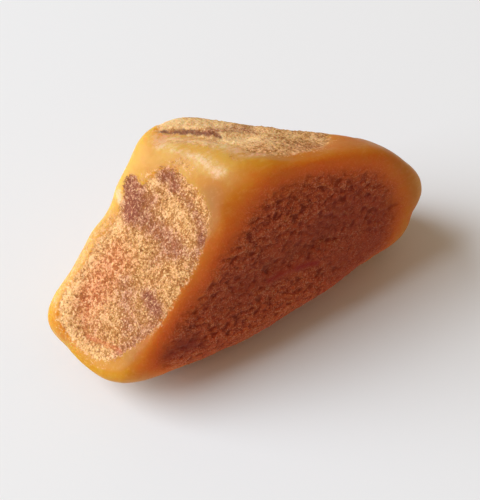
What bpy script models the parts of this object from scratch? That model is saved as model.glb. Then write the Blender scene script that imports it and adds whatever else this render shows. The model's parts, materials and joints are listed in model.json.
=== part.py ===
"""Raw amber: one worn lump, about 62 mm long, lying on a flat side.

The lump is a single solid.  Broad flat faces blend into each other over rounded
edges.  Weathered crust sits in shallow hollows on the faces, grooves and dents
break the surface, and the edges between the faces are worn smooth.
"""

import math

import bmesh
import bpy
import numpy as np
from mathutils import Vector, noise

NAME = "amber_lump"
MM = 0.001

# The body.  Lengths are in millimetres and directions in degrees.
HEART = np.array((9.7, 0.1, 11.9))      # the point that each face's distance is measured from
MIDDLE = np.array((-0.4, 1.2, 13.0))    # the point that the grid is pushed out from
PROPORTIONS = np.array((1.75, 1.0, 0.95))
EDGE_CRISPNESS = 13.5                   # the power that blends the faces; more is sharper
GRID_QUADS = 28                         # quads along each side of the grid
GRID_RELAXINGS = 15                     # times that each corner moves amid its neighbours
RAY_LENGTH = 80.0                       # long enough to leave the lump from MIDDLE
HALVINGS = 40
FACES = (
    # name, azimuth and elevation that it looks towards, distance from HEART
    ("left", 191, 46, 24.5),
    ("right", -87, 14, 13.0),
    ("top", 47, 63, 14.8),
    ("shoulder", 219, 64, 23.4),
    ("crest", 137, 53, 47.0),
    ("back left", 110, 2, 18.0),
    ("back", 55, 22, 10.2),
    ("back under", 60, -45, 14.5),
    ("right tip", -20, -9, 20.5),
    ("right tip back", 18, 35, 16.3),
    ("right tip front", -69, -14, 17.2),
    ("right under", -78, -42, 13.8),
    ("front under", -96, -37, 17.4),
    ("nose lower", 221, -42, 32.1),
    ("left under", 157, -73, 18.0),
    ("foot", 0, -90, 12.6),
)

# Weathered crust.  Each outline lies in the plane of a face: millimetres to the
# right of HEART and above it, as seen by someone who looks straight at the face.
CRUST_DEPTH = 0.45
CRUST_BANK = 2.4                        # width of the slope at the rim of a hollow
CRUST_RAGGED = ((3.0, 0.8), (1.4, 0.5)) # size and reach of the rim's wanderings
CRUST_FADE = (0.5, 0.75)                # crust starts and is whole at these shares of a distance
HUMMOCK_HEIGHT = 0.32
HUMMOCK_SIZE = 3.2
CRUST = (
    ("left", (
        (3.5, -2), (6, -5), (7.5, -11.5), (7.5, -17), (6, -27.5), (3, -30.5), (-1, -31.5),
        (-8.5, -30), (-10, -27), (-9, -21.5), (-10.5, -15), (-9.5, -12), (-10.5, -9),
        (-12, -7), (-11.5, -5.5), (-8.5, -5.5), (-6.5, -1), (-3, -0.5))),
    ("right", (
        (-31.5, -4.5), (-29.5, -0.5), (-24.5, 3), (-19.5, 5.5), (-17, 11), (-15, 14),
        (-10.5, 16.5), (-6, 17), (-1.5, 16), (4, 14), (8.5, 11.5), (12, 7), (13, 2.5),
        (11.5, -7), (7, -10), (-4, -11), (-18, -10), (-28, -9))),
    ("top", (
        (19.5, 12), (18.5, 13.5), (9, 16), (3, 16.5), (-1, 16.5), (-4.5, 14), (-6.5, 9),
        (-5, 3), (2, 1.5), (9, 3), (14, 6.5), (19, 9.5))),
    ("back", (
        (-10, 11), (-2, 13), (6, 11), (9, 4), (7, -5), (2, -9), (-6, -8), (-10, -2), (-8, 4))),
    ("back left", (
        (1, 10), (8, 12), (15, 9), (22, 4), (27, -1), (24, -5), (16, -6), (10, -9), (2, -8),
        (-1, 0))),
    ("right tip", ((-6, 4), (0, 6), (5, 2), (4, -4), (-3, -5))),
    ("front under", ((-22, -3), (-10, 0), (2, 1), (4, -5), (-8, -9), (-20, -8))),
)

# Grooves: name, face, width, depth, and the route in the plane of that face.
GROOVES = (
    ("top crevice", "top", 2.6, 0.9, ((18, 13), (15, 13), (12, 12.2), (9.5, 12.4), (6.5, 9.5))),
    ("shoulder groove", "top", 3.6, 0.4, ((13, 16), (7.5, 16.5), (3, 15.3), (-1.5, 14.2))),
    ("glossy streak", "right", 2.4, 0.45, ((-11.5, 2), (-8.5, 1.5), (-6, 1.7), (-1.5, 1.8))),
    ("plate crack", "left", 2.2, 0.25, ((-8, -22), (-6, -28), (-3, -28.5), (0.5, -29))),
    ("back furrow", "back", 4.2, 0.7, ((-9, -5), (-4, -1), (0, 4), (1, 10))),
    ("back left furrow", "back left", 4.0, 0.6, ((2, 9), (7, 4), (13, 2), (18, -4))),
)
GROOVE_SPREAD = 1.4                     # how far the banks reach, in half widths

# Dents: name, place, radius and depth.  A negative depth is a knob.
DENTS = (
    ("waist notch", (-18, 6.4, 20.5), 5.0, 2.0),
    ("chip", (-15.4, 6.4, 23), 1.9, 0.7),
    ("nose cheek", (-28, 2.2, 9.5), 6.0, -1.0),
    ("nose dent", (-30.4, -2.2, 7), 2.4, 0.6),
    ("right tip dent", (26.9, -10.8, 11.5), 4.0, 0.2),
    ("right tip shell chip", (28.5, -2, 17), 5.0, 1.2),
    ("back hollow", (12, 11, 18), 7.0, 1.1),
    ("back edge chip", (-2, 17, 12), 4.5, 1.1),
    ("crest knob", (-9, 11, 27), 4.0, -0.5),
    ("back left hollow", (-16, 10, 12), 7.0, 0.9),
    ("nose under knob", (-24, -3, 3), 5.0, -0.4),
)

# Slow waviness over the whole lump: size and height of the waves.
WAVES = ((15, 0.45), (7, 0.22), (3.6, 0.08))
NOISE_STEP = Vector((31.7, 11.3, 5.9))  # sets the noises of different seeds apart
RIM_SEED = 1
WAVE_SEED = 3
HUMMOCK_SEED = 7


def towards(azimuth, elevation):
    """Unit vector that looks towards an azimuth and an elevation."""
    a = math.radians(azimuth)
    e = math.radians(elevation)
    return np.array((math.cos(a) * math.cos(e), math.sin(a) * math.cos(e), math.sin(e)))


def unit(vectors):
    """The vectors at length 1."""
    return vectors / np.linalg.norm(vectors, axis=1)[:, None]


NORMALS = np.array([towards(azimuth, elevation) for _, azimuth, elevation, _ in FACES])
DISTANCES = np.array([distance for *_, distance in FACES], dtype=float)
FACE_NUMBER = {name: number for number, (name, *_) in enumerate(FACES)}


def fullness(points):
    """How far out the points are: under 1 inside the blended faces, 1 on them."""
    share = np.clip((points - HEART) @ NORMALS.T, 0, None) / DISTANCES
    return (share ** EDGE_CRISPNESS).sum(axis=1) ** (1 / EDGE_CRISPNESS)


def outward(points):
    """Unit normals of the blended faces at the points."""
    share = np.clip((points - HEART) @ NORMALS.T, 0, None) / DISTANCES
    return unit((share ** (EDGE_CRISPNESS - 1)) @ (NORMALS / DISTANCES[:, None]))


def blended_faces(directions):
    """Points where rays from MIDDLE meet the blended faces, found by halving."""
    near = np.zeros(len(directions))
    far = np.full(len(directions), RAY_LENGTH)
    for _ in range(HALVINGS):
        half = (near + far) / 2
        inside = fullness(MIDDLE + directions * half[:, None]) < 1
        near = np.where(inside, half, near)
        far = np.where(inside, far, half)
    return MIDDLE + directions * near[:, None]


def in_plane(points, face):
    """Points as (right, up) in the plane of a face, and how far they are along its normal."""
    azimuth = math.radians(FACES[FACE_NUMBER[face]][1])
    normal = NORMALS[FACE_NUMBER[face]]
    right = np.array((-math.sin(azimuth), math.cos(azimuth), 0.0))
    up = np.cross(normal, right)
    rays = points - HEART
    return np.stack((rays @ right, rays @ up), axis=1), rays @ normal


def distance_to_route(flat, route):
    """Distance from flat points to a line through the points of a route."""
    nearest = np.full(len(flat), np.inf)
    for start, end in zip(route[:-1], route[1:]):
        start = np.array(start, dtype=float)
        run = np.array(end, dtype=float) - start
        along = np.clip(((flat - start) @ run) / (run @ run), 0, 1)
        gap = np.linalg.norm(flat - start - along[:, None] * run, axis=1)
        nearest = np.minimum(nearest, gap)
    return nearest


def inside_outline(flat, outline):
    """True for the flat points inside a closed outline, by counting crossings."""
    inside = np.zeros(len(flat), dtype=bool)
    for (x0, y0), (x1, y1) in zip(outline, outline[1:] + outline[:1]):
        if y0 == y1:
            continue
        spans = (flat[:, 1] < y0) != (flat[:, 1] < y1)
        crossing = x0 + (flat[:, 1] - y0) * (x1 - x0) / (y1 - y0)
        inside ^= spans & (flat[:, 0] < crossing)
    return inside


def wander(points, size, seed):
    """Smooth noise from -1 to 1 at the points, with features of one size."""
    return np.array([noise.noise(Vector(point) / size + NOISE_STEP * seed) for point in points])


def ease(value):
    """Zero below 0, one above 1, and a smooth step between."""
    value = np.clip(value, 0, 1)
    return value * value * (3 - 2 * value)


def crust_cover(points):
    """One where crust covers the surface, zero where it is worn away."""
    ragged = sum(reach * wander(points, size, seed)
                 for seed, (size, reach) in enumerate(CRUST_RAGGED, start=RIM_SEED))
    cover = np.zeros(len(points))
    for face, outline in CRUST:
        flat, depth = in_plane(points, face)
        rim = distance_to_route(flat, outline + outline[:1])
        signed = np.where(inside_outline(flat, outline), rim, -rim) + ragged
        share = depth / DISTANCES[FACE_NUMBER[face]]
        near_face = ease((share - CRUST_FADE[0]) / (CRUST_FADE[1] - CRUST_FADE[0]))
        cover = np.maximum(cover, near_face * ease(signed / CRUST_BANK + 0.5))
    return cover


def relief(points):
    """Height of the surface over the blended faces, in millimetres."""
    height = np.zeros(len(points))
    for seed, (size, rise) in enumerate(WAVES, start=WAVE_SEED):
        height += rise * wander(points, size, seed)
    hummocks = HUMMOCK_HEIGHT * wander(points, HUMMOCK_SIZE, HUMMOCK_SEED)
    height += crust_cover(points) * (hummocks - CRUST_DEPTH)
    for _, face, width, depth, route in GROOVES:
        flat, out = in_plane(points, face)
        across = distance_to_route(flat, route) / (width / 2)
        height -= np.where(out > 0, depth * ease(GROOVE_SPREAD - across), 0)
    for _, place, radius, depth in DENTS:
        away = np.linalg.norm(points - np.array(place, dtype=float), axis=1) / radius
        height -= depth * ease(1 - away)
    return height


def lump_grid():
    """A cube of even quads whose corners are then read as directions."""
    grid = bmesh.new()
    bmesh.ops.create_cube(grid, size=2)
    bmesh.ops.subdivide_edges(grid, edges=grid.edges[:], cuts=GRID_QUADS - 1, use_grid_fill=True)
    grid.verts.index_update()
    return grid


def smooth_surface(grid):
    """The grid's corners pushed out to the blended faces, then evened out along them."""
    corners = np.array([corner.co for corner in grid.verts])
    points = blended_faces(unit(unit(np.tan(corners * math.pi / 4)) * PROPORTIONS))
    ends = np.array([[corner.index for corner in edge.verts] for edge in grid.edges])
    neighbours = np.bincount(ends.ravel(), minlength=len(points))[:, None]
    for _ in range(GRID_RELAXINGS):
        total = np.zeros_like(points)
        np.add.at(total, ends[:, 0], points[ends[:, 1]])
        np.add.at(total, ends[:, 1], points[ends[:, 0]])
        points = blended_faces(unit(total / neighbours - MIDDLE))
    return points


def centred_on_floor(points):
    """The points cut flat at the floor, with the box's bottom centre at the origin."""
    points[:, 2] = np.maximum(points[:, 2], 0)
    middle = (points.min(axis=0) + points.max(axis=0)) / 2
    return points - (middle[0], middle[1], 0)


def amber():
    """Cloudy honey-coloured amber with a waxy polish."""
    material = bpy.data.materials.new("cloudy_amber")
    material.use_nodes = True
    shader = material.node_tree.nodes["Principled BSDF"]
    shader.inputs["Base Color"].default_value = (0.60, 0.26, 0.06, 1)
    shader.inputs["Roughness"].default_value = 0.42
    shader.inputs["Metallic"].default_value = 0
    return material


def amber_lump():
    """The whole lump, as one object."""
    grid = lump_grid()
    smooth = smooth_surface(grid)
    points = centred_on_floor(smooth + outward(smooth) * relief(smooth)[:, None])
    for corner, point in zip(grid.verts, points):
        corner.co = Vector(point) * MM
    bmesh.ops.recalc_face_normals(grid, faces=grid.faces[:])
    mesh = bpy.data.meshes.new(NAME)
    grid.to_mesh(mesh)
    grid.free()
    mesh.shade_smooth()
    mesh.materials.append(amber())
    lump = bpy.data.objects.new(NAME, mesh)
    bpy.context.scene.collection.objects.link(lump)
    return lump


for leftover in list(bpy.data.objects):
    bpy.data.objects.remove(leftover)
amber_lump()
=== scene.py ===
"""Raw amber piece: a worn lump of cloudy amber with grainy crust in the hollows of its faces."""

import json
import math

import bpy
import numpy as np
from bpy.props import FloatProperty, FloatVectorProperty, PointerProperty
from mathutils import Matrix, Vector

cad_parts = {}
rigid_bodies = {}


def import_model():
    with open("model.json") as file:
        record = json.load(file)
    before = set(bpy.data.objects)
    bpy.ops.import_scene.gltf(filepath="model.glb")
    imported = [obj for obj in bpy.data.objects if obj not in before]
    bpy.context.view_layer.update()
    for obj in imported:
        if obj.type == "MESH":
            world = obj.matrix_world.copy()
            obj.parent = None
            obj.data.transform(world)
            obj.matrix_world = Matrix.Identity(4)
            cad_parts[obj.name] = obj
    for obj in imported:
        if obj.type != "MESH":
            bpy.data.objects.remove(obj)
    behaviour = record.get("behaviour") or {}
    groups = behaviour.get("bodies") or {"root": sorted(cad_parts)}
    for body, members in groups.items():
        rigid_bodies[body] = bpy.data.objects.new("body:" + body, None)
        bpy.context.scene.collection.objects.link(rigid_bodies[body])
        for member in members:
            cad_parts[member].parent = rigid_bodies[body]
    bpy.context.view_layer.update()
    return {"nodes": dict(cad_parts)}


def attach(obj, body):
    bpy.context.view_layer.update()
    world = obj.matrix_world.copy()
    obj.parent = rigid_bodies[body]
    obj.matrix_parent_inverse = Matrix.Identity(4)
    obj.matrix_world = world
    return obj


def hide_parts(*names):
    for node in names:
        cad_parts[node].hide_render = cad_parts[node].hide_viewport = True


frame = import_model()

bl_info = {
    "name": "Raw amber piece",
    "version": (1, 0, 0),
    "blender": (4, 5, 0),
    "location": "View3D > Sidebar > Amber",
    "description": "Models a worn lump of raw amber and the studio that it lies in",
    "category": "Object",
}

MM = 0.001
NODE = "amber_lump"
PIECE = "raw_amber"

# The lump's faces, as in the solid: directions in degrees and distances in millimetres.
HEART = np.array((9.93, -1.17, 11.9))
FACES = {
    "left": (191, 46, 24.5),
    "right": (-87, 14, 13.0),
    "top": (47, 63, 14.8),
    "shoulder": (219, 64, 23.4),
    "back": (55, 22, 10.2),
    "back left": (110, 2, 18.0),
    "right tip": (-20, -9, 20.5),
    "front under": (-96, -37, 17.4),
}

# Crust outlines in the plane of a face: millimetres to the right of HEART and above
# it, as seen by someone who looks straight at the face.
GOLD_CRUST = (
    ("left", (
        (-2.2, -0.9), (1, -1.4), (3.1, -2.4), (4.7, -4.8), (5.6, -7.4), (6.1, -10), (6.2, -13.2),
        (6.3, -17.2), (6.4, -19.2), (5.9, -22.2), (4.9, -25.4), (3.9, -27.6), (2.7, -29.2),
        (0.6, -30.6), (-3.1, -31.2), (-6, -31), (-8.2, -29.9), (-9.7, -28), (-10.2, -25.6),
        (-10.1, -21.6), (-10.4, -18.2), (-10.6, -15.4), (-10.9, -12.8), (-11.2, -9.6),
        (-12.2, -7.4), (-12.3, -6), (-10.8, -5.4), (-8.9, -5.8), (-8.3, -4), (-7.6, -1.6),
        (-5.4, -0.6))),
    ("top", (
        (19.3, 11.5), (17.2, 11.6), (14.9, 11.6), (12.6, 12), (10, 13), (7.9, 13.6),
        (5.5, 14.5), (3.9, 15.0), (1.2, 14.8), (-1.2, 13.4), (-3.6, 11.4), (-5.0, 8.8),
        (-5.8, 6), (-5, 1.5), (2, -0.5), (9, 1), (14.4, 4.2), (19.8, 7.6))),
    ("back left", (
        (1.8, 9.4), (4.6, 10.6), (8, 11.6), (11.6, 10.8), (14.6, 9.4), (17.4, 7.6), (20.4, 5.8),
        (23.2, 3.2), (25, -0.6), (24.2, -3.6), (21, -4.8), (17.4, -6.4), (14, -7.2),
        (10.6, -8.6), (6.6, -8.4), (2.8, -7.4), (0.8, -4.4), (-0.4, -1), (-0.4, 3), (0.2, 6.6))),
)
RED_CRUST = (
    ("right", (
        (-33.4, -5.2), (-32.2, -2.4), (-30.2, 0.2), (-27.8, 2.6), (-24.8, 5), (-22.4, 7.5),
        (-20, 9.6), (-17.8, 11.4), (-16, 12.9), (-14.2, 14.2), (-12.4, 15.4), (-10.2, 16.7),
        (-7, 16.7), (-3, 16.1), (1.5, 15.2), (5, 14.2), (8.8, 12.5), (11.8, 9.4), (13.6, 5.6),
        (14.2, 2), (13.6, -1.5), (12.5, -7), (9, -12), (-4, -14), (-18, -14), (-27, -13),
        (-31, -9))),
    ("back", (
        (-16, 4.6), (-13, 7.2), (-9, 6), (-5, 7.6), (-2, 7.4), (2, 8.8), (5, 6.4), (8, 3.6),
        (7.2, -1), (8, -4.6), (4.4, -6.4), (2, -9), (-2.4, -7.6), (-6, -8.8), (-10, -6.2),
        (-13.6, -7.6), (-17.4, -4.4), (-16, -0.8), (-18, 1.8))),
    ("right tip", (
        (-6, 4), (-3, 5.2), (0, 6), (3.4, 7.8), (7, 6.2), (9, 3), (7.4, -0.6), (9.2, -3.4),
        (6, -6.2), (2.2, -5), (-1, -6.4), (-3.6, -5), (-5.4, -2), (-4.8, 1))),
    ("front under", ((-22, -3), (-10, 0), (2, 1), (4, -5), (-8, -9), (-20, -8))),
)
NO_CRUST = -9.0                         # the depth, in millimetres, far outside every rim
# A crust starts and is whole where the surface reaches these shares of a face's distance.
GOLD_SHARE = (0.5, 0.75)
RED_SHARE = (0.2, 0.42)

# Stains, finishes and patches of painted light and shade: face, radius in millimetres, strength,
# and the line that each follows.
MAUVE_STAINS = (
    ("left", 1.5, 1.60, ((-12.5, -6.6), (-11.0, -7.4), (-9.6, -8.8), (-8.8, -10.4))),
    ("left", 1.5, 0.85, ((-9.4, -6.4), (-8.0, -7.6), (-6.2, -6.6))),
    ("left", 1.8, 1.05, ((-8.4, -10.2), (-3.9, -9.6), (-0.1, -9.4), (1.4, -9.2))),
    ("left", 1.1, 1.25, ((-6.6, -2.7), (-5.8, -2.0), (-4.9, -2.4), (-4.2, -2.8))),
    ("left", 3.0, 0.22, ((-3.4, -27.6), (-0.6, -25.0), (1.8, -21.0))),
    ("left", 0.8, 0.80, ((-2.2, -3.1), (0.6, -3.7), (2.6, -4.5), (4.6, -6.1))),
    ("left", 1.1, 1.30, ((2.2, -17.6), (3.2, -18.0), (4.4, -18.2))),
    ("left", 1.5, 0.70, ((-2.4, -18.6), (-0.8, -20.0), (0.6, -21.8), (2.0, -23.2))),
    ("left", 1.2, 0.80, ((5.7, -19.0), (5.3, -22.0), (4.4, -25.2), (3.2, -27.2))),
    ("left", 0.8, 0.60, ((4.6, -6.0), (5.4, -8.0), (5.7, -10.4))),
    ("left", 1.0, 0.45, ((-0.4, -13.6), (1.0, -11.6), (4.6, -8.6))),
    ("top", 0.8, 0.90, ((17.0, 10.9), (14.3, 10.5), (12.0, 10.6), (10.4, 10.4))),
    ("top", 1.1, 1.00, ((11.6, 9.6), (9.6, 8.7), (8.4, 7.6), (6.9, 7.0), (5.7, 7.4))),
    ("top", 1.0, 0.35, ((10.6, 11.7), (8.0, 11.7), (5.2, 11.8), (3.6, 12.6))),
    ("back left", 2.6, 0.8, ((4, 4), (9, 2), (14, 4))),
    ("back left", 2.0, 0.9, ((17, -2), (21, -1))),
)
RUST_STAINS = (
    ("left", 3.2, 1.1, ((-6.4, -24.4), (-6.8, -21.2), (-5.6, -16.6))),
    ("left", 2.6, 0.5, ((-3.6, -26.4), (-3.4, -22.6))),
    ("left", 1.0, 0.7, ((-7.6, -2.4), (-5.6, -0.9))),
    ("top", 0.7, 1.0, ((18.8, 11.2), (16.6, 10.9))),
    ("top", 3.4, 0.6, ((3.0, 10.4), (0.0, 10.8), (-3.4, 8.8))),
    ("back left", 3.0, 0.8, ((7, 8), (12, 6))),
)
# Paler patches of the gold crust. Those on the top face are mostly painted light, which makes that
# face, turned from the lamp, as bright as the lit left face.
PALE_PATCHES_AND_PAINTED_LIGHT = (
    ("left", 1.6, 0.6, ((-4.0, -6.2), (-0.4, -5.9), (1.6, -6.8))),
    ("left", 1.2, 0.5, ((-6.2, -13.6), (-4.4, -12.6), (-2.0, -11.4))),
    ("left", 1.0, 0.4, ((5.4, -12.0), (5.4, -16.0))),
    ("left", 1.5, 1.2, ((-9.8, -24.6), (-8.8, -27.8), (-6.6, -30.2))),
    ("left", 1.8, 0.9, ((-3.6, -25.6), (-1.8, -23.6), (0.4, -22.8))),
    ("left", 1.1, 1.1, ((-8.8, -3.0), (-7.8, -4.6))),
    ("left", 1.3, 1.0, ((-4.5, -30.8), (-0.2, -30.2), (2.4, -28.8))),
    ("left", 2.0, 0.6, ((-10.0, -13.0), (-9.8, -17.0), (-9.8, -21.0))),
    ("top", 3.6, 2.2, ((18.0, 9.6), (12.0, 8.6), (7.4, 10.0))),
    ("top", 1.6, 1.2, ((13.0, 13.0), (10.0, 13.0), (7.4, 12.6))),
    ("top", 3.0, 1.3, ((5.6, 10.4), (1.6, 10.4))),
    ("top", 1.8, 2.0, ((18.0, 8.2), (14.4, 7.0), (10.4, 4.6))),
    ("top", 1.8, 1.2, ((4.4, 5.6), (0.0, 5.0), (-3.0, 5.0))),
    ("back left", 2.6, 0.7, ((20, 2), (24, -2))),
)
POLISH = (
    ("shoulder", 0.5, 0.35, ((-16.0, -1.2), (-13.0, -1.4), (-10.6, -1.6))),
    ("shoulder", 0.9, 0.35, ((-9.4, -1.9), (-7.8, -2.4), (-6.4, -3.1))),
    ("left", 1.3, 0.9, ((-7.7, -32.3), (-5.9, -32.5))),
    ("left", 0.7, 1.0, ((-12.1, -9.5), (-11.6, -9.9))),
)
SAND_DUST = (
    ("left", 2.6, 0.9, ((-11.4, -13.6), (-11.6, -19.0), (-10.6, -25.0))),
    ("left", 1.0, 0.60, ((-10.6, -28.0), (-8.0, -30.8), (-2.0, -32.0), (2.6, -30.6))),
    ("left", 1.4, 0.8, ((-10.0, -5.6), (-7.8, -3.4), (-6.0, 0.4), (-3.0, 0.8))),
    ("top", 1.2, 0.7, ((19.4, 10.4), (19.0, 12.4), (15.0, 13.0), (10.0, 13.8))),
    ("top", 1.4, 0.55, ((16.0, 14.0), (11.0, 15.0), (7.0, 15.2))),
    ("top", 0.9, 0.65, ((6.8, 16.8), (5.6, 17.4))),
    ("top", 1.6, 0.6, ((1.2, 14.6), (-2.2, 12.8), (-5.2, 9.4), (-6.4, 5.6))),
)
# Milky, paler amber. The stains along the left rim, over the top and on the shoulder are partly
# painted light on the lit side; the two with negative strength are painted shade.
MILK_PAINTED_LIGHT_AND_SHADE = (
    ("left", 4.5, 0.8, ((-11.0, -4.0), (-8.0, 2.0), (-2.0, 3.5))),
    ("left", 2.6, 1.2, ((-13.5, -9.0), (-13.2, -16.0), (-12.6, -22.0), (-11.6, -27.0))),
    ("top", 2.4, 0.6, ((21.0, 13.0), (14.0, 14.4), (9.0, 15.2))),
    ("shoulder", 2.2, 0.4, ((-9.0, -1.2), (-5.8, -2.0), (-3.6, -0.8), (-1.4, 0.2))),
    # Painted shade: these two darken the worn amber along the ridge between the left face and the
    # right face.
    ("left", 1.9, -0.9, ((1.4, -0.3), (4.2, -3.4), (6.4, -6.0), (7.4, -10.0), (7.6, -13.0))),
    ("left", 1.6, -0.6, ((7.4, -18.6), (7.0, -21.8), (5.8, -25.8))),
)
# A pale frost film over the top, partly painted light, and painted highlights along the shoulder
# ridge and on a chip at the left rim.
FROST_AND_PAINTED_HIGHLIGHTS = (
    ("top", 1.7, 1.2, ((18.4, 12.6), (14.0, 13.2), (9.0, 14.0), (5.2, 15.0), (3.0, 14.6))),
    ("shoulder", 0.7, 0.9, ((-17.0, -1.1), (-13.0, -1.3), (-10.8, -1.5))),
    ("shoulder", 1.3, 1.1, ((-9.4, -1.9), (-7.8, -2.5), (-6.3, -3.2))),
    ("left", 0.8, 2.2, ((-12.1, -9.5), (-11.6, -9.9))),
)
DARK_STAINS = (
    ("right", 1.7, 1.5, ((-29.8, -4.2), (-27.6, -3.8), (-25.8, -4.6))),
    ("right", 4.6, 1.0, ((3.0, 5.0), (9.0, 1.0), (8.0, -3.0), (1.0, -4.0))),
    ("right", 4.0, 0.9, ((-16.0, 1.0), (-10.0, 2.4), (-3.0, 4.0))),
)
# The crevice is sunk into the top and also coloured dark along its line: painted shade in the
# groove.
CREVICE = (
    ("top", 0.45, 0.7, ((19.0, 11.4), (18.1, 11.1))),
    ("top", 0.65, 0.9, ((17.7, 11.1), (16.6, 10.8), (15.7, 10.4))),
    ("top", 0.80, 1.0, ((15.2, 10.8), (14.2, 10.4), (13.3, 10.8))),
    ("top", 0.50, 0.8, ((12.8, 10.4), (11.8, 10.9), (10.9, 10.4), (9.8, 10.7))),
    ("top", 0.45, 0.5, ((9.4, 9.0), (8.4, 8.2), (7.0, 7.8))),
)
CRUMBS = (
    ("top", 2.0, 1.0, ((4.0, 4.8), (-0.2, 3.4), (-3.6, 1.6))),
)
PLATE_CRACK = (
    ("left", 0.30, 0.45, ((-5.2, -25.0), (-4.7, -26.9), (-4.1, -28.2), (-3.0, -29.0))),
    ("left", 0.30, 0.80, ((-3.0, -29.0), (-1.6, -28.6), (-0.3, -27.9), (1.1, -27.6),
                          (2.2, -27.0), (3.4, -26.8))),
)
GLOSSY_STREAKS = (
    ("right", 0.50, 0.9, ((-11.4, -0.3), (-9.6, -0.1))),
    ("right", 0.40, 0.6, ((-8.9, -0.1), (-7.3, -0.3))),
    ("right", 0.55, 1.1, ((-6.5, -0.6), (-4.8, -0.9), (-3.2, -1.4))),
)
SMOOTH_PATCHES = (
    ("right", 1.6, 0.8, ((1.8, -1.6), (4.4, -1.6), (7.6, -2.8))),
    ("right", 1.7, 0.9, ((-24.0, -10.5), (-16.0, -10.0), (-9.3, -10.3), (0.0, -8.6), (5.0, -6.5),
                         (9.0, -5.6))),
    ("right", 0.9, 0.5, ((-11.6, -0.2), (-3.2, -1.3))),
)

# The names that the material reads the stains and the painted light and shade by.
STAINS = {
    "mauve": MAUVE_STAINS, "rust": RUST_STAINS, "dark": DARK_STAINS, "dust": SAND_DUST,
    "milk_light_and_shade": MILK_PAINTED_LIGHT_AND_SHADE, "frost_and_highlight": FROST_AND_PAINTED_HIGHLIGHTS, "pale_and_painted_light": PALE_PATCHES_AND_PAINTED_LIGHT, "polish": POLISH,
}

# The relief, in millimetres: how deep or high each form is, and how wide.
LEDGE_DEPTH = 0.12
CREVICE_DEPTH = 0.34
CRACK_DEPTH = 0.15
CRUMB_HEIGHT = 0.25
UNDULATION_SIZE = 3.4
UNDULATION_HEIGHT = 0.16
HUMMOCK_SIZE = 0.95
HUMMOCK_MIDDLE = 0.25                   # the shade of the pattern that leaves the face where it is
HUMMOCK_STRETCH = (1.15, 1.0, 1.0)      # the pattern is a little longer along the lump
SWELL_SIZE = 0.85
SWELL_SHARE = 1.7                       # a swell's height over a hummock's
GRAIN_SIZE = 0.62
GRAIN_CONTRAST = 2                      # clouds keep to middle shades, so their strength is raised
LEDGE_WIDTH = 0.7                       # the gold crust's slope from rim to floor
RED_START = 0.3                         # the red crust's bumps start this far inside its rim
RED_SLOPE = 3.2                         # and are whole this much further in
SMOOTHED = 0.85                         # the part of the bumps that is worn off smooth patches
FLOOR_MARGIN = 0.8                      # the relief fades out this close to the floor
LEAST_WEIGHT = 0.004                    # a smaller weight is left out of a vertex group
MERGE_DISTANCE = 0.001                  # corners of the solid this close become one
WHOLE = 0.9                             # cover over this counts as whole crust

# Grain of the finish: the sizes of its noises, in millimetres.
GRIT_SIZE = 0.36
FLOUR_SIZE = 0.25
CLUMP_SIZE = 0.7
RAG_SIZE = 0.8
MOTTLE_SIZE = 1.3
BLOTCH_SIZE = 3.6
SWIRL_SIZE = 6
WEAR_SIZE = 1.6
CREASE_SIZE = 0.95
WANDER_SIZE = 0.9
WANDER_REACH = 1.2

# Colours of the gold crust: sand grains, the ground between them, marks, paler colours that partly
# carry painted light, and painted shade for the crevice.
RUSTY_SAND = (0.72, 0.29, 0.120)
MAUVE_SAND = (0.64, 0.325, 0.185)
# The bright sand and ground go where the paler patches, partly painted light, and the dust are.
BRIGHT_SAND = (0.98, 0.61, 0.28)
PLUM_SAND = (0.40, 0.15, 0.075)
CREAM_GRAIN = (0.94, 0.64, 0.32)
BROWN_GROUND = (0.37, 0.14, 0.034)
RUSTY_GROUND = (0.44, 0.115, 0.034)
PLUM_GROUND = (0.19, 0.045, 0.026)
BRIGHT_GROUND = (0.78, 0.40, 0.145)
SAND_PIT = (0.17, 0.055, 0.022)
# Painted shade for the crevice.
CREVICE_SHADE_BROWN = (0.22, 0.075, 0.045)
CRACK_RUST = (0.56, 0.13, 0.045)

# Colours of the red crust, with painted shade for its hollows and creases, pale flecks that are
# partly painted highlight, and an orange rim that is partly painted glow.
# Painted shade for the hollows and the creases of the red crust.
RED_HOLLOW_SHADE = (0.25, 0.034, 0.010)
RED_CREASE_SHADE = (0.15, 0.017, 0.005)
# Pale flecks, partly painted highlight on the hummock tops.
RED_FLECK_AND_HIGHLIGHT = (0.66, 0.25, 0.13)
RED_SHADE = (0.27, 0.042, 0.021)
RED_STREAK = (0.30, 0.012, 0.002)
# An orange band along the crust's rim, partly painted glow of light coming through the amber.
ORANGE_RIM_AND_GLOW = (0.68, 0.165, 0.014)

# Colours of the worn amber, beside those that the add-on's panel offers; the deep honey is partly
# painted shade, the ochre is painted shade, and the frost colour also paints highlights.
# Deeper amber towards the red crust, partly painted shade.
DEEP_HONEY_AND_SHADE = (0.53, 0.180, 0.007)
# Painted shade along the ridge.
OCHRE_SHADE = (0.42, 0.165, 0.010)
SCUFF = (0.84, 0.52, 0.12)
# Pale frost, also the colour of the painted highlights.
FROST_AND_HIGHLIGHT_COLOUR = (0.95, 0.66, 0.40)
PALE_FLOOR = (0.86, 0.86, 0.87)

# The studio, in degrees and metres.
KEY_AZIMUTH = -117
KEY_ELEVATION = 33
KEY_DISTANCE = 2.4
KEY_SIZE = (2.09, 2.64)
KEY_COLOUR = (0.90, 1.0, 1.10)
KEY_AIM = Vector((0, 0, 12 * MM))
ROOM_COLOUR = (1.0, 0.77, 0.53, 1)
FLOOR_WIDTH = 6.0
CAMERA_TARGET = Vector((-0.12, -3.74, 10.8)) * MM
FOCAL_LENGTH = 90                       # millimetres


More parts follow.
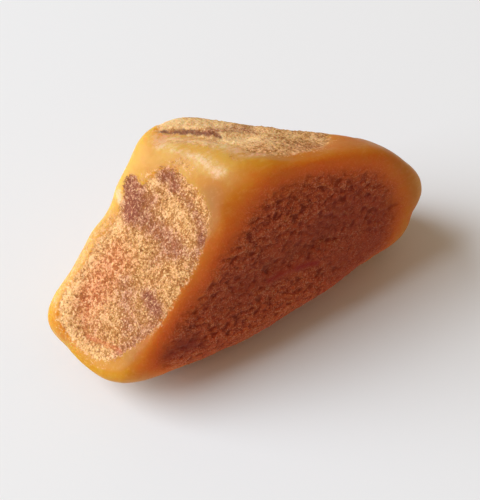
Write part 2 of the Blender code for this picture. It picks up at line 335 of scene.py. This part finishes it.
class AmberShape(bpy.types.PropertyGroup):
    """Sizes of the lump's fine relief."""

    voxel: FloatProperty(
        name="Mesh size", description="Width of the fine mesh's quads",
        default=0.28 * MM, min=0.2 * MM, unit="LENGTH")
    hummock: FloatProperty(
        name="Hummock height", description="Height of the lumps in the red crust",
        default=0.28 * MM, unit="LENGTH")
    grain: FloatProperty(
        name="Grain height", description="Height of the grains of both crusts",
        default=0.17 * MM, unit="LENGTH")


class AmberColours(bpy.types.PropertyGroup):
    """Colours of the amber and of its crusts."""

    honey: FloatVectorProperty(
        name="Honey", description="The worn amber",
        subtype="COLOR", default=(0.65, 0.275, 0.009), min=0, max=1)
    # Also the colour of the painted light on the lit rim and top.
    milky_and_lit: FloatVectorProperty(
        name="Milky", description="Cloudy swirls in the worn amber",
        subtype="COLOR", default=(0.77, 0.42, 0.080), min=0, max=1)
    gold: FloatVectorProperty(
        name="Gold grain", description="Bright grains of the gold crust",
        subtype="COLOR", default=(0.71, 0.375, 0.140), min=0, max=1)
    mauve: FloatVectorProperty(
        name="Mauve", description="Dark grains of the gold crust",
        subtype="COLOR", default=(0.28, 0.082, 0.036), min=0, max=1)
    red: FloatVectorProperty(
        name="Red crust", description="Body colour of the red crust",
        subtype="COLOR", default=(0.46, 0.084, 0.025), min=0, max=1)


class AmberStudio(bpy.types.PropertyGroup):
    """The floor, the camera and the lights."""

    azimuth: FloatProperty(
        name="Camera azimuth", description="Angle round the lump",
        subtype="ANGLE", default=math.radians(-30))
    elevation: FloatProperty(
        name="Camera elevation", description="Angle above the floor",
        subtype="ANGLE", default=math.radians(50))
    distance: FloatProperty(
        name="Camera distance", description="From the lens to its target",
        unit="LENGTH", default=192.7 * MM)
    key_power: FloatProperty(
        name="Key power", description="Power of the large soft lamp",
        unit="POWER", default=98.0)
    sky: FloatProperty(
        name="Fill", description="Brightness of the light from all round",
        default=0.33)


# ---------------------------------------------------------------------------
# Places on the lump
# ---------------------------------------------------------------------------


def in_plane(points, face):
    """Points as (right, up) in a face's plane, and the share of its distance they reach."""
    azimuth, elevation, distance = FACES[face]
    a = math.radians(azimuth)
    e = math.radians(elevation)
    normal = np.array((math.cos(a) * math.cos(e), math.sin(a) * math.cos(e), math.sin(e)))
    right = np.array((-math.sin(a), math.cos(a), 0.0))
    rays = points - HEART
    flat = np.stack((rays @ right, rays @ np.cross(normal, right)), axis=1)
    return flat, (rays @ normal) / distance


def distance_to_route(flat, route):
    """Distance from flat points to a line through the points of a route."""
    nearest = np.full(len(flat), np.inf)
    for start, end in zip(route[:-1], route[1:]):
        start = np.array(start, dtype=float)
        run = np.array(end, dtype=float) - start
        along = np.clip(((flat - start) @ run) / (run @ run), 0, 1)
        gap = np.linalg.norm(flat - start - along[:, None] * run, axis=1)
        nearest = np.minimum(nearest, gap)
    return nearest


def inside_outline(flat, outline):
    """True for the flat points inside a closed outline, by counting crossings."""
    inside = np.zeros(len(flat), dtype=bool)
    for (x0, y0), (x1, y1) in zip(outline, outline[1:] + outline[:1]):
        if y0 == y1:
            continue
        spans = (flat[:, 1] < y0) != (flat[:, 1] < y1)
        inside ^= spans & (flat[:, 0] < x0 + (flat[:, 1] - y0) * (x1 - x0) / (y1 - y0))
    return inside


def ease(value):
    """Zero below 0, one above 1, and a smooth step between."""
    value = np.clip(value, 0, 1)
    return value * value * (3 - 2 * value)


def depth_in_crust(points, crust, shares):
    """Millimetres inside the nearest rim of a crust; negative outside it."""
    depth = np.full(len(points), NO_CRUST)
    for face, outline in crust:
        flat, share = in_plane(points, face)
        rim = distance_to_route(flat, outline + outline[:1])
        signed = np.where(inside_outline(flat, outline), rim, -rim)
        near = ease((share - shares[0]) / (shares[1] - shares[0]))
        depth = np.maximum(depth, NO_CRUST + (np.maximum(signed, NO_CRUST) - NO_CRUST) * near)
    return depth


def near_route(points, face, route, radius):
    """One on a route over a face, falling softly to nothing past its radius."""
    flat, share = in_plane(points, face)
    near = ease((share - GOLD_SHARE[0]) / (GOLD_SHARE[1] - GOLD_SHARE[0]))
    return np.exp(-(distance_to_route(flat, route) / radius) ** 2) * near


def stained(points, stains):
    """How strongly a set of stains colours each point."""
    return sum(strength * near_route(points, face, route, radius)
               for face, radius, strength, route in stains)


# ---------------------------------------------------------------------------
# The lump
# ---------------------------------------------------------------------------


def pick(piece):
    """Selects one object and nothing else."""
    for other in bpy.context.view_layer.objects:
        other.select_set(False)
    piece.select_set(True)
    bpy.context.view_layer.objects.active = piece


def finish_with(piece, kind, **settings):
    """Adds a modifier and applies it."""
    modifier = piece.modifiers.new(kind.lower(), kind)
    for name, value in settings.items():
        setattr(modifier, name, value)
    pick(piece)
    bpy.ops.object.modifier_apply(modifier=modifier.name)


def positions(piece):
    """The piece's corners, in millimetres."""
    flat = np.empty(len(piece.data.vertices) * 3)
    piece.data.vertices.foreach_get("co", flat)
    return flat.reshape(-1, 3) / MM


def store(piece, name, values):
    """Keeps one number for each corner, for the material to read."""
    layer = piece.data.attributes.new(name, "FLOAT", "POINT")
    layer.data.foreach_set("value", np.asarray(values, dtype=np.float32))


def group(piece, name, weights):
    """A vertex group with the given weights."""
    members = piece.vertex_groups.new(name=name)
    for number in np.flatnonzero(weights > LEAST_WEIGHT):
        members.add([int(number)], float(weights[number]), "REPLACE")


def smooth_copy(voxel):
    """A fine, even, smooth mesh of the solid."""
    lump = bpy.data.objects.new(PIECE, frame["nodes"][NODE].data.copy())
    bpy.context.scene.collection.objects.link(lump)
    lump.data.name = PIECE
    pick(lump)
    bpy.ops.mesh.customdata_custom_splitnormals_clear()
    bpy.ops.object.mode_set(mode="EDIT")
    bpy.ops.mesh.select_all(action="SELECT")
    bpy.ops.mesh.remove_doubles(threshold=MERGE_DISTANCE * MM)
    bpy.ops.mesh.tris_convert_to_quads(face_threshold=math.pi, shape_threshold=math.pi)
    bpy.ops.object.mode_set(mode="OBJECT")
    finish_with(lump, "SUBSURF", levels=2, render_levels=2)
    finish_with(lump, "REMESH", mode="VOXEL", voxel_size=voxel, use_smooth_shade=True)
    finish_with(lump, "SMOOTH", factor=0.5, iterations=5)
    return lump


def raise_relief(lump, name, kind, size, height, weights, middle=0.5, stretch=None, **settings):
    """Pushes the surface along its normals by a procedural texture."""
    texture = bpy.data.textures.new(name, kind)
    texture.noise_scale = size
    for setting, value in settings.items():
        setattr(texture, setting, value)
    group(lump, name, weights)
    coords = {"texture_coords": "LOCAL"}
    if stretch:
        coords = {"texture_coords": "OBJECT", "texture_coords_object": stretch}
    finish_with(lump, "DISPLACE", texture=texture, direction="NORMAL", strength=height,
                mid_level=middle, vertex_group=name, **coords)


def sink(lump, name, depth, weights):
    """Lowers the surface along its normals by a depth."""
    group(lump, name, weights)
    finish_with(lump, "DISPLACE", direction="NORMAL", strength=-depth, mid_level=0,
                vertex_group=name)


def raise_hummocks(lump, shape, red_cover):
    """Rounded bumps with creases between them, on softer swells."""
    stretch = bpy.data.objects.new("stretch", None)
    stretch.scale = HUMMOCK_STRETCH
    bpy.context.scene.collection.objects.link(stretch)
    bpy.context.view_layer.update()
    raise_relief(lump, "hummocks", "VORONOI", HUMMOCK_SIZE * MM, -shape.hummock, red_cover,
                 HUMMOCK_MIDDLE, stretch, distance_metric="DISTANCE_SQUARED", weight_1=1.0)
    raise_relief(lump, "swells", "CLOUDS", SWELL_SIZE * MM, shape.hummock * SWELL_SHARE,
                 red_cover, 0.5, stretch, noise_basis="ORIGINAL_PERLIN", noise_depth=1)
    bpy.data.objects.remove(stretch)


def model_lump(shape):
    """The fine lump, with its crusts in relief and their masks stored."""
    lump = smooth_copy(shape.voxel)
    smooth = positions(lump)
    gold = depth_in_crust(smooth, GOLD_CRUST, GOLD_SHARE)
    red = depth_in_crust(smooth, RED_CRUST, RED_SHARE)
    off_floor = ease(smooth[:, 2] / FLOOR_MARGIN)
    streak = stained(smooth, GLOSSY_STREAKS)
    smoothed = np.clip(streak + stained(smooth, SMOOTH_PATCHES), 0, 1)
    crevice = stained(smooth, CREVICE)
    crack = stained(smooth, PLATE_CRACK)
    gold_cover = ease(gold / LEDGE_WIDTH + 0.5) * off_floor
    red_cover = ease((red - RED_START) / RED_SLOPE) * off_floor * (1 - SMOOTHED * smoothed)

    sink(lump, "ledge", LEDGE_DEPTH * MM, gold_cover)
    sink(lump, "crevice", CREVICE_DEPTH * MM, crevice)
    sink(lump, "crumbs", -CRUMB_HEIGHT * MM, stained(smooth, CRUMBS))
    sink(lump, "crack", CRACK_DEPTH * MM, crack)
    raise_relief(lump, "undulations", "CLOUDS", UNDULATION_SIZE * MM, UNDULATION_HEIGHT * MM,
                 off_floor, noise_basis="ORIGINAL_PERLIN", noise_depth=2)
    flat = positions(lump)
    raise_hummocks(lump, shape, red_cover)
    raise_relief(lump, "grains", "CLOUDS", GRAIN_SIZE * MM, shape.grain * GRAIN_CONTRAST,
                 np.maximum(gold_cover, red_cover), noise_basis="BLENDER_ORIGINAL", noise_depth=1)

    rough = positions(lump)
    normals = np.empty(len(smooth) * 3)
    lump.data.vertices.foreach_get("normal", normals)
    height = ((rough - flat) * normals.reshape(-1, 3)).sum(axis=1)
    height -= np.median(height[red_cover > WHOLE])
    rough[:, 2] = np.maximum(rough[:, 2], 0)
    lump.data.vertices.foreach_set("co", (rough * MM).ravel())

    store(lump, "gold", gold)
    store(lump, "red", red)
    store(lump, "relief", height)
    store(lump, "streak", streak)
    store(lump, "cracks", crevice)
    store(lump, "split", crack)
    for name, stains in STAINS.items():
        store(lump, name, stained(smooth, stains))
    lump.vertex_groups.clear()
    lump.data.shade_smooth()
    return lump


# ---------------------------------------------------------------------------
# Materials
# ---------------------------------------------------------------------------


class Socket:
    """A shader socket that takes part in Python arithmetic through Math nodes."""

    def __init__(self, paint, link):
        self.paint = paint
        self.link = link

    def _math(self, operation, first, second, **settings):
        return self.paint.add("ShaderNodeMath", dict(settings, operation=operation),
                              {0: first, 1: second})

    def __add__(self, other):
        return self._math("ADD", self, other)

    def __sub__(self, other):
        return self._math("SUBTRACT", self, other)

    def __rsub__(self, other):
        return self._math("SUBTRACT", other, self)

    def __mul__(self, other):
        return self._math("MULTIPLY", self, other)

    __radd__ = __add__
    __rmul__ = __mul__

    def to(self, low, high):
        """Zero at low, one at high, eased between and held beyond."""
        return self.paint.add(
            "ShaderNodeMapRange", {"interpolation_type": "SMOOTHSTEP"},
            {"Value": self, "From Min": low, "From Max": high})

    def clamped(self):
        """The value held between zero and one."""
        return self._math("ADD", self, 0.0, use_clamp=True)

    def swing(self, reach=1.0):
        """How far a noise is from its middle, times a reach."""
        return (self - 0.5) * reach


class Paint:
    """A material's nodes, added one by one."""

    def __init__(self, name):
        self.material = bpy.data.materials.new(name)
        self.material.use_nodes = True
        self.tree = self.material.node_tree
        self.tree.nodes.clear()
        self.place = self.add("ShaderNodeTexCoord", {}, {}, "Object")

    def add(self, kind, settings, inputs, output=0):
        """Adds a node: its settings first, then its sockets' values or links."""
        node = self.tree.nodes.new(kind)
        for name, value in settings.items():
            setattr(node, name, value)
        for name, value in inputs.items():
            if isinstance(value, Socket):
                self.tree.links.new(value.link, node.inputs[name])
            elif node.inputs[name].type == "RGBA" and len(value) == 3:
                node.inputs[name].default_value = (*value, 1)
            else:
                node.inputs[name].default_value = value
        return Socket(self, node.outputs[output]) if node.outputs else None

    def mix(self, factor, first, second):
        """One colour, with another mixed in."""
        return self.add("ShaderNodeMix", {"data_type": "RGBA"},
                        {0: factor, 6: first, 7: second}, 2)

    def noise(self, size, detail=2.0, roughness=0.5, place=None):
        """Noise from 0 to 1 with features of a size in millimetres."""
        return self.add("ShaderNodeTexNoise", {},
                        {"Vector": place or self.place, "Scale": 1 / (size * MM),
                         "Detail": detail, "Roughness": roughness})

    def cells(self, size, feature, place=None):
        """Distances in a pattern of cells of a size in millimetres."""
        return self.add("ShaderNodeTexVoronoi", {"feature": feature},
                        {"Vector": place or self.place, "Scale": 1 / (size * MM)}, "Distance")

    def drawn_out(self, scale):
        """The place on the lump, with the pattern's length along X scaled."""
        return self.add("ShaderNodeMapping", {},
                        {"Vector": self.place, "Scale": (scale, 1.0, 1.0)})

    def larger(self, first, second):
        """The larger of two numbers."""
        return self.add("ShaderNodeMath", {"operation": "MAXIMUM"}, {0: first, 1: second})

    def stored(self, name):
        """A number kept with the mesh's corners."""
        return self.add("ShaderNodeAttribute", {"attribute_name": name}, {}, "Fac")

    def bump(self, strength, depth, height):
        """Fine relief in the shading, of a depth in millimetres."""
        return self.add("ShaderNodeBump", {}, {
            "Strength": strength, "Distance": depth * MM, "Height": height})

    def principled(self, **inputs):
        """A Principled shader; its sockets' names are written with underscores."""
        return self.add("ShaderNodeBsdfPrincipled", {"subsurface_method": "RANDOM_WALK"},
                        {name.replace("_", " "): value for name, value in inputs.items()})

    def cover(self, mask, below, above):
        """One shader over another where a mask says."""
        return self.add("ShaderNodeMixShader", {}, {0: mask, 1: below, 2: above})

    def finished(self, surface):
        """The material, with a surface shader joined to its output."""
        self.add("ShaderNodeOutputMaterial", {}, {"Surface": surface})
        return self.material


class Grain:
    """Noises of several sizes that the crusts and the worn amber share."""

    def __init__(self, paint):
        self.grit = paint.noise(GRIT_SIZE, 3.0, 0.75)
        self.flour = paint.noise(FLOUR_SIZE, 2.0, 0.6)
        self.clump = paint.noise(CLUMP_SIZE, 3.0, 0.65)
        self.mottle = paint.noise(MOTTLE_SIZE, 4.0, 0.65)
        self.blotch = paint.noise(BLOTCH_SIZE, 3.0, 0.6)
        self.rag = paint.noise(RAG_SIZE, 5.0, 0.75).swing()
        self.dither = (self.grit.swing(2.2) + self.clump.swing(2.4) + self.mottle.swing(1.8)
                       + self.blotch.swing())


def gold_crust(paint, grain, colours):
    """Pale sand over a browner ground, stained mauve and rust, with paler patches that are partly
    painted light and painted shade in the crevice; its shader and its mask.
    """
    grit, flour, clump, mottle = grain.grit, grain.flour, grain.clump, grain.mottle
    dither = grain.dither
    dust = paint.stored("dust")
    mauve_stain = paint.stored("mauve")
    mauve = (mauve_stain * 0.85 + dither * 0.7).to(-0.1, 1.15)
    rust = (paint.stored("rust") * 0.85 + dither * 0.6).to(-0.1, 1.2)
    plum = (mauve_stain + dither * 0.3).to(0.8, 1.7) * 0.6
    # Partly painted light: the paler patches, strongest on the top face.
    pale_and_painted_light = paint.stored("pale_and_painted_light") + mottle.swing(1.2) + clump.swing(0.8)
    bright = (pale_and_painted_light * 0.4 + dust * 0.3 - mauve_stain * 0.5).clamped()

    sandy = paint.mix(rust, tuple(colours.gold), RUSTY_SAND)
    sandy = paint.mix(mauve, sandy, MAUVE_SAND)
    sandy = paint.mix(bright, sandy, BRIGHT_SAND)
    sandy = paint.mix(plum, sandy, PLUM_SAND)
    ground = paint.mix(rust, BROWN_GROUND, RUSTY_GROUND)
    ground = paint.mix(mauve, ground, tuple(colours.mauve))
    ground = paint.mix(plum, ground, PLUM_GROUND)
    ground = paint.mix(bright, ground, BRIGHT_GROUND)

    grains = grit + flour.swing(0.6) + clump.swing(0.8) + mottle.swing(0.5)
    grains = grains + pale_and_painted_light * 0.04 - mauve * 0.08 + rust * clump.swing(1.1)
    colour = paint.mix(grains.to(0.34, 0.68), ground, sandy)
    cream = flour + grit.swing(0.6) + clump.swing(0.3) + pale_and_painted_light * 0.04 - mauve * 0.04
    colour = paint.mix(cream.to(0.56, 0.75) * 0.65, colour, CREAM_GRAIN)
    pits = flour * 0.6 + grit * 0.6 + clump.swing(0.3) + pale_and_painted_light * 0.02
    colour = paint.mix(pits.to(0.56, 0.41) * 0.7, colour, SAND_PIT)
    # Painted shade: the crevice's line is coloured dark brown.
    crevice_shade = (paint.stored("cracks") * (dither + 0.9)).to(0.2, 1.0)
    colour = paint.mix(crevice_shade * 0.85, colour, CREVICE_SHADE_BROWN)
    split = paint.stored("split") * (clump + 0.2).clamped()
    colour = paint.mix(split, colour, CRACK_RUST)

    sand = 1 - paint.cells(GRIT_SIZE, "F1").to(0.1, 0.7)
    shader = paint.principled(
        Base_Color=colour, Roughness=0.75, IOR=1.45, Specular_IOR_Level=0.12,
        Subsurface_Weight=0.3, Subsurface_Radius=(1.0, 0.3, 0.1), Subsurface_Scale=2 * MM,
        Normal=paint.bump(0.8, 0.12, sand * 0.3 + grit + flour * 0.6))

    edge = (paint.stored("gold") + grain.rag * 3.0 + grit.swing(1.6)).to(-0.2, 0.3)
    dusted = (dust * 1.5 + grit.swing(2.8) + flour.swing(1.4) + grain.rag).to(1.0, 1.4)
    return shader, paint.larger(edge, dusted * 0.85)


def crease_lines(paint):
    """One in the creases of the red crust, along the edges of bent cells."""
    drawn = paint.drawn_out(0.8)
    wander = paint.add("ShaderNodeTexNoise", {},
                       {"Vector": drawn, "Scale": 1 / (WANDER_SIZE * MM)}, "Color")
    reach = WANDER_REACH * MM
    bent = paint.add("ShaderNodeVectorMath", {"operation": "MULTIPLY_ADD"},
                     {0: wander, 1: (reach, reach, reach), 2: drawn})
    return paint.cells(CREASE_SIZE, "DISTANCE_TO_EDGE", bent).to(0.13, 0.0)


def red_crust(paint, grain, colours):
    """Painted shade in its hollows and creases, pale flecks that are partly painted highlight on
    the hummock tops, and an orange rim that is partly painted glow; its shader and its mask.
    """
    grit, flour, clump, blotch = grain.grit, grain.flour, grain.clump, grain.blotch
    depth = paint.stored("red")
    relief = paint.stored("relief")
    streak = paint.stored("streak")

    # Painted shade: the low parts of the relief are coloured darker, standing in for the shade in
    # the hollows.
    high = (relief + grit.swing(0.10) + clump.swing(0.10) + 0.03).to(-0.14, 0.04)
    colour = paint.mix(high, RED_HOLLOW_SHADE, tuple(colours.red))
    # Painted shade: the creases are coloured darker; the same lines also deepen the bump.
    creases = crease_lines(paint) * (1 - streak).clamped() * depth.to(0.6, 3.4)
    colour = paint.mix(creases * (grain.mottle * 2.4 - 0.7).clamped(), colour, RED_CREASE_SHADE)
    # Partly painted highlight: the flecks grow paler on the tops of the relief.
    fleck_and_highlight = (flour + relief * 0.5 + grit.swing(0.4) + blotch.swing(0.2)).to(0.50, 0.72)
    colour = paint.mix(fleck_and_highlight * 0.62, colour, RED_FLECK_AND_HIGHLIGHT)
    colour = paint.mix(paint.stored("dark") * 0.55, colour, RED_SHADE)
    # Partly painted glow: orange along the rim of the red crust.
    rim = (depth + blotch.swing(2.4)).to(5.0, -0.8)
    colour = paint.mix(rim * 0.75, colour, ORANGE_RIM_AND_GLOW)
    colour = paint.mix(streak.clamped() * 0.9, colour, RED_STREAK)

    shader = paint.principled(
        Base_Color=colour, Roughness=0.75 - streak.clamped() * 0.4, IOR=1.45,
        Specular_IOR_Level=0.2, Subsurface_Weight=0.8, Subsurface_Radius=(1.0, 0.2, 0.06),
        Subsurface_Scale=10 * MM, Normal=paint.bump(0.9, 0.14, grit + flour * 0.5 - creases * 0.7))
    return shader, (depth + grain.rag * 2.2 + blotch.swing(1.8)).to(-2.2, 2.2)


def worn_amber(paint, grain, colours):
    """Honey with milky swirls and painted light on its lit rim and top; deeper, partly as painted
    shade, where it runs into the red crust and along the ridge; with frost and painted highlights.
    """
    grit, mottle = grain.grit, grain.mottle
    milk_light_and_shade = paint.stored("milk_light_and_shade")
    swirl = paint.noise(SWIRL_SIZE, 4.0, 0.55)
    # Milky swirls, and painted light where the stains raise them.
    milky_and_lit = (milk_light_and_shade + swirl.swing(1.6) + mottle.swing(0.8)).to(0.1, 1.1)
    honey = paint.mix(milky_and_lit, tuple(colours.honey), tuple(colours.milky_and_lit))
    # Deeper amber towards the red crust, partly painted shade on the sides turned from the lamp.
    near_red = (paint.stored("red") + grain.blotch.swing(3.0) + grain.rag).to(-4.4, -0.3)
    honey = paint.mix(near_red * (0.85 - milk_light_and_shade * 0.6).clamped(), honey, DEEP_HONEY_AND_SHADE)
    # Painted shade: ochre along the ridge, where the stains are negative.
    honey = paint.mix((milk_light_and_shade * -0.8).clamped(), honey, OCHRE_SHADE)

    brushed = paint.noise(CLUMP_SIZE, 3.0, 0.65, paint.drawn_out(0.22))
    scuffs = (brushed * 0.6 + grit * 0.4 + mottle.swing(0.3)).to(0.48, 0.66)
    honey = paint.mix(scuffs * 0.16, honey, SCUFF)
    speckle = brushed.swing(2.0) + grit.swing(1.8) + grain.clump.swing(1.4) + 0.7
    # Frost film, and painted highlights on the shoulder and the chip.
    frost_and_highlight = (paint.stored("frost_and_highlight") * speckle).to(0.1, 1.2)
    honey = paint.mix(frost_and_highlight * 0.7, honey, FROST_AND_HIGHLIGHT_COLOUR)

    wear = paint.noise(WEAR_SIZE, 4.0, 0.55)
    return paint.principled(
        Base_Color=honey, Roughness=0.40, IOR=1.54, Specular_IOR_Level=0.04,
        Coat_Weight=paint.stored("polish").clamped(), Coat_Roughness=0.22,
        Transmission_Weight=0.25, Subsurface_Weight=1.0, Subsurface_Radius=(1.0, 0.40, 0.10),
        Subsurface_Scale=12 * MM, Normal=paint.bump(0.5, 0.08, wear + grit * 0.5))


def amber_material(colours):
    """Waxy amber, with the red crust over it and the gold crust over both."""
    paint = Paint("raw_amber")
    grain = Grain(paint)
    red, red_mask = red_crust(paint, grain, colours)
    gold, gold_mask = gold_crust(paint, grain, colours)
    body = paint.cover(red_mask, worn_amber(paint, grain, colours), red)
    return paint.finished(paint.cover(gold_mask, body, gold))


def floor_material():
    """Plain matt white paper."""
    paint = Paint("pale_floor")
    return paint.finished(paint.principled(
        Base_Color=PALE_FLOOR, Roughness=0.85, Specular_IOR_Level=0.2))


# ---------------------------------------------------------------------------
# Operators and panel
# ---------------------------------------------------------------------------


class OBJECT_OT_raw_amber(bpy.types.Operator):
    """Model the lump of raw amber over the solid that it stands for"""

    bl_idname = "object.raw_amber"
    bl_label = "Raw amber lump"

    def execute(self, context):
        lump = model_lump(context.scene.amber_shape)
        lump.data.materials.clear()
        lump.data.materials.append(amber_material(context.scene.amber_colours))
        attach(lump, "root")
        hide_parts(NODE)
        return {"FINISHED"}


def direction(azimuth, elevation):
    """Unit vector from the lump towards a camera or lamp; azimuth 0 is at -Y."""
    return Vector((math.sin(azimuth) * math.cos(elevation),
                   -math.cos(azimuth) * math.cos(elevation), math.sin(elevation)))


def face_lump(item, aim, way, distance):
    """Puts a lamp or a camera at a distance from its aim, looking back at it."""
    bpy.context.scene.collection.objects.link(item)
    item.location = aim + way * distance
    item.rotation_euler = way.to_track_quat("Z", "Y").to_euler()


def key_lamp(power):
    """A broad, soft area lamp."""
    light = bpy.data.lights.new("key", "AREA")
    light.shape = "RECTANGLE"
    light.size, light.size_y = KEY_SIZE
    light.energy = power
    light.color = KEY_COLOUR
    way = direction(math.radians(KEY_AZIMUTH), math.radians(KEY_ELEVATION))
    face_lump(bpy.data.objects.new("key", light), KEY_AIM, way, KEY_DISTANCE)


def soft_room(brightness):
    """Warm light from all round."""
    world = bpy.data.worlds.new("soft_room")
    world.use_nodes = True
    background = world.node_tree.nodes["Background"]
    background.inputs["Color"].default_value = ROOM_COLOUR
    background.inputs["Strength"].default_value = brightness
    return world


def long_camera(studio):
    """A long lens that looks down at the lump."""
    lens = bpy.data.cameras.new("camera")
    lens.lens = FOCAL_LENGTH
    lens.clip_start = 1 * MM
    camera = bpy.data.objects.new("camera", lens)
    face_lump(camera, CAMERA_TARGET, direction(studio.azimuth, studio.elevation),
              studio.distance)
    return camera


class OBJECT_OT_amber_stage(bpy.types.Operator):
    """Lay a plain pale floor, hang the soft lights and set the camera"""

    bl_idname = "object.amber_stage"
    bl_label = "Floor, lights and camera"

    def execute(self, context):
        studio = context.scene.amber_studio
        bpy.ops.mesh.primitive_plane_add(size=FLOOR_WIDTH, location=(0, 0, 0))
        floor = context.object
        floor.name = "floor"
        floor.data.materials.append(floor_material())

        key_lamp(studio.key_power)
        context.scene.world = soft_room(studio.sky)
        context.scene.camera = long_camera(studio)
        context.scene.view_settings.view_transform = "Standard"
        return {"FINISHED"}


class VIEW3D_PT_amber(bpy.types.Panel):
    """The lump's sizes and colours, and the buttons that make it"""

    bl_label = "Raw amber"
    bl_space_type = "VIEW_3D"
    bl_region_type = "UI"
    bl_category = "Amber"

    def draw(self, context):
        scene = context.scene
        for group_of_values in (scene.amber_shape, scene.amber_colours, scene.amber_studio):
            box = self.layout.box()
            for name in group_of_values.bl_rna.properties.keys():
                if name not in ("rna_type", "name"):
                    box.prop(group_of_values, name)
        self.layout.operator(OBJECT_OT_raw_amber.bl_idname)
        self.layout.operator(OBJECT_OT_amber_stage.bl_idname)


CLASSES = (AmberShape, AmberColours, AmberStudio, OBJECT_OT_raw_amber, OBJECT_OT_amber_stage,
           VIEW3D_PT_amber)


def register():
    """Registers the classes and hangs their values on the scene."""
    for item in CLASSES:
        bpy.utils.register_class(item)
    bpy.types.Scene.amber_shape = PointerProperty(type=AmberShape)
    bpy.types.Scene.amber_colours = PointerProperty(type=AmberColours)
    bpy.types.Scene.amber_studio = PointerProperty(type=AmberStudio)


def unregister():
    """Takes the values off the scene and unregisters the classes."""
    del bpy.types.Scene.amber_studio
    del bpy.types.Scene.amber_colours
    del bpy.types.Scene.amber_shape
    for item in reversed(CLASSES):
        bpy.utils.unregister_class(item)


def main():
    """Builds the whole scene."""
    register()
    bpy.ops.object.raw_amber()
    bpy.ops.object.amber_stage()


if __name__ == "__main__":
    main()
